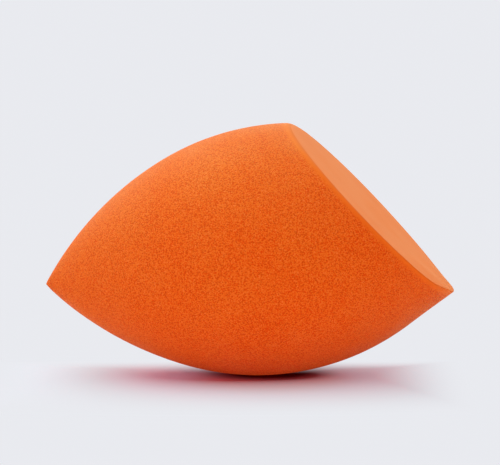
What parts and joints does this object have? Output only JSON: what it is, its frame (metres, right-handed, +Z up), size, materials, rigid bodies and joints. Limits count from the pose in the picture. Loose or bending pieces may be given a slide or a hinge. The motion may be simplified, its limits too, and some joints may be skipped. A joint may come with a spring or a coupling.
{
  "type": "makeup sponge",
  "caption": "Pointed teardrop makeup sponge of soft orange foam with one flat slanted cut face, lying on its side on a small pressed flat.",
  "frame": {"origin": "centre of the bounding box at its underside, in the plane of the small flat that the sponge lies on", "axes": "+X along the length from the pointed tip to the cut end, +Y across the width, +Z up; the sponge is the same on both sides of the XZ plane"},
  "size_m": [0.063, 0.0384, 0.0385],
  "materials": {
    "foam": "matte fine-celled orange foam, with a faintly pebbled moulded skin and a smoother, paler cut face"
  },
  "bodies": {
    "root": {"sponge_body": "foam"}
  },
  "joints": []
}
